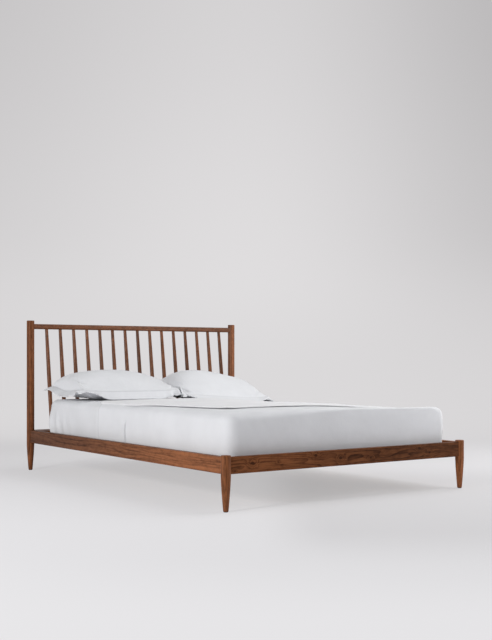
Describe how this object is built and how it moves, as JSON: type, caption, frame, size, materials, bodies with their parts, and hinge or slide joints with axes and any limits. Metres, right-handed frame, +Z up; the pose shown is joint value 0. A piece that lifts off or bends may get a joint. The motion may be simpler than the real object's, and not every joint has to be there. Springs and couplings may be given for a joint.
{
  "type": "double bed",
  "caption": "Low wooden double bed with round tapered posts, a leaning spindle headboard, a slatted base, and a made-up mattress with flanged pillows.",
  "frame": {"origin": "on the floor under the middle of the bed's outline", "axes": "+X towards the right side seen from the foot, +Y towards the head end, +Z up"},
  "size_m": [1.505, 2.1329, 0.896],
  "materials": {
    "walnut": "satin oiled walnut with long grain and a few knots",
    "pine": "bare planed softwood",
    "beech": "bare turned hardwood",
    "black_steel": "matt black powder coat",
    "zinc": "bright zinc plate",
    "nylon": "moulded nylon",
    "ticking": "woven cotton ticking",
    "cotton": "smooth white cotton percale"
  },
  "bodies": {
    "frame": {"head_post_left": "walnut", "head_post_right": "walnut", "foot_post_left": "walnut", "foot_post_right": "walnut", "side_rail_left": "walnut", "side_rail_right": "walnut", "foot_rail": "walnut", "head_rail": "walnut", "seat_rail": "walnut", "top_rail": "walnut", "spindle_01": "walnut", "spindle_02": "walnut", "spindle_03": "walnut", "spindle_04": "walnut", "spindle_05": "walnut", "spindle_06": "walnut", "spindle_07": "walnut", "spindle_08": "walnut", "spindle_09": "walnut", "spindle_10": "walnut", "spindle_11": "walnut", "spindle_12": "walnut", "spindle_13": "walnut", "spindle_14": "walnut", "spindle_15": "walnut", "slat_01": "pine", "slat_02": "pine", "slat_03": "pine", "slat_04": "pine", "slat_05": "pine", "slat_06": "pine", "slat_07": "pine", "slat_08": "pine", "slat_09": "pine", "slat_10": "pine", "slat_11": "pine", "slat_12": "pine", "slat_13": "pine", "slat_14": "pine", "ledge_left": "pine", "ledge_right": "pine", "centre_beam": "black_steel", "beam_hanger_foot": "black_steel", "beam_hanger_head": "black_steel", "corner_brackets": "black_steel", "centre_leg_fixings": "zinc", "bracket_screws": "zinc", "ledge_screws": "zinc", "slat_screws": "zinc", "centre_leg": "beech", "rail_dowels": "beech", "seat_dowels": "beech", "post_glides": "nylon"},
    "levelling_foot": {"levelling_foot": "nylon"},
    "bedding": {"mattress": "ticking", "fitted_sheet": "cotton", "top_sheet": "cotton"},
    "pillow_left": {"pillow_left": "cotton"},
    "pillow_right": {"pillow_right": "cotton"}
  },
  "joints": [
    {"name": "levelling_foot_screw", "type": "slide", "parent": "frame", "child": "levelling_foot", "axis": [0, 0, 1], "range_m": [0, 0.012]},
    {"name": "mattress_lift", "type": "slide", "parent": "frame", "child": "bedding", "axis": [0, 0, 1], "range_m": [0, 0.3]},
    {"name": "pillow_left_lift", "type": "slide", "parent": "bedding", "child": "pillow_left", "axis": [0, 0, 1], "range_m": [0, 0.3]},
    {"name": "pillow_right_lift", "type": "slide", "parent": "bedding", "child": "pillow_right", "axis": [0, 0, 1], "range_m": [0, 0.3]}
  ]
}
